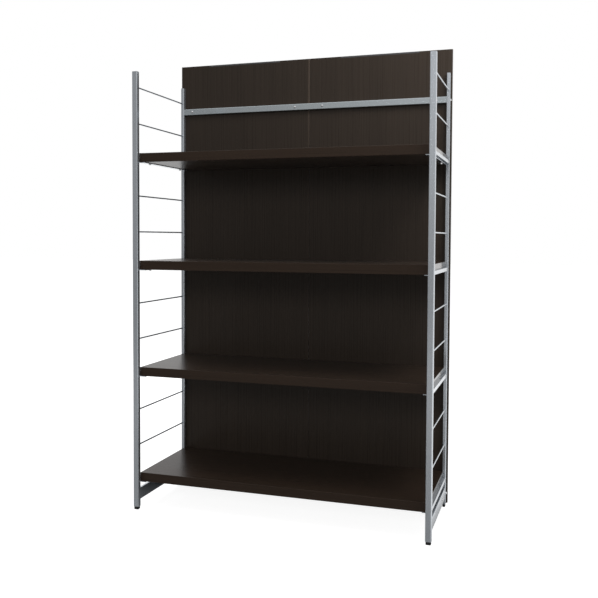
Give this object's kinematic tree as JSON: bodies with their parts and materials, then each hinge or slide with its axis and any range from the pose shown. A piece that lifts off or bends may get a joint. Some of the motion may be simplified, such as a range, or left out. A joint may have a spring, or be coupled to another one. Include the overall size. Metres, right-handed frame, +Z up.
{
  "type": "room divider bookcase",
  "caption": "Open bookcase room divider with ladder side frames of steel tube, tall dark wood back panels and thick boards hooked on the rungs.",
  "frame": {"origin": "on the floor under the middle of the overall box", "axes": "+X to the right seen from the front, +Y to the back, +Z up"},
  "size_m": [1.162, 0.4456, 1.8],
  "materials": {
    "silver_paint": "satin silver powder coat",
    "dark_wood": "dark brown wood-grain laminate, low sheen",
    "black_plastic": "matt black",
    "zinc": "bright zinc plate",
    "grey_strip": "satin grey"
  },
  "bodies": {
    "frame": {"left_front_post": "silver_paint", "left_rear_post": "silver_paint", "right_front_post": "silver_paint", "right_rear_post": "silver_paint", "front_post_caps": "silver_paint", "rear_post_caps": "silver_paint", "left_rungs": "silver_paint", "right_rungs": "silver_paint", "left_bottom_rail": "silver_paint", "right_bottom_rail": "silver_paint", "top_crossbar": "silver_paint", "lower_crossbar": "silver_paint", "bottom_stretcher": "silver_paint", "back_panel_left": "dark_wood", "back_panel_right": "dark_wood", "crossbar_end_inserts": "black_plastic", "stretcher_end_inserts": "black_plastic", "front_feet": "black_plastic", "rear_feet": "black_plastic", "crossbar_bolts": "zinc", "stretcher_bolts": "zinc", "left_panel_strip": "grey_strip", "right_panel_strip": "grey_strip"},
    "bottom_shelf": {"bottom_shelf_board": "dark_wood", "bottom_shelf_left_hook_rail": "silver_paint", "bottom_shelf_right_hook_rail": "silver_paint"},
    "lower_shelf": {"lower_shelf_board": "dark_wood", "lower_shelf_left_hook_rail": "silver_paint", "lower_shelf_right_hook_rail": "silver_paint"},
    "upper_shelf": {"upper_shelf_board": "dark_wood", "upper_shelf_left_hook_rail": "silver_paint", "upper_shelf_right_hook_rail": "silver_paint"},
    "top_shelf": {"top_shelf_board": "dark_wood", "top_shelf_left_hook_rail": "silver_paint", "top_shelf_right_hook_rail": "silver_paint"}
  },
  "joints": [
    {"name": "bottom_shelf_lift", "type": "slide", "parent": "frame", "child": "bottom_shelf", "axis": [0, 0, 1], "range_m": [0, 0.12]},
    {"name": "lower_shelf_lift", "type": "slide", "parent": "frame", "child": "lower_shelf", "axis": [0, 0, 1], "range_m": [0, 0.12]},
    {"name": "upper_shelf_lift", "type": "slide", "parent": "frame", "child": "upper_shelf", "axis": [0, 0, 1], "range_m": [0, 0.12]},
    {"name": "top_shelf_lift", "type": "slide", "parent": "frame", "child": "top_shelf", "axis": [0, 0, 1], "range_m": [0, 0.12]}
  ]
}
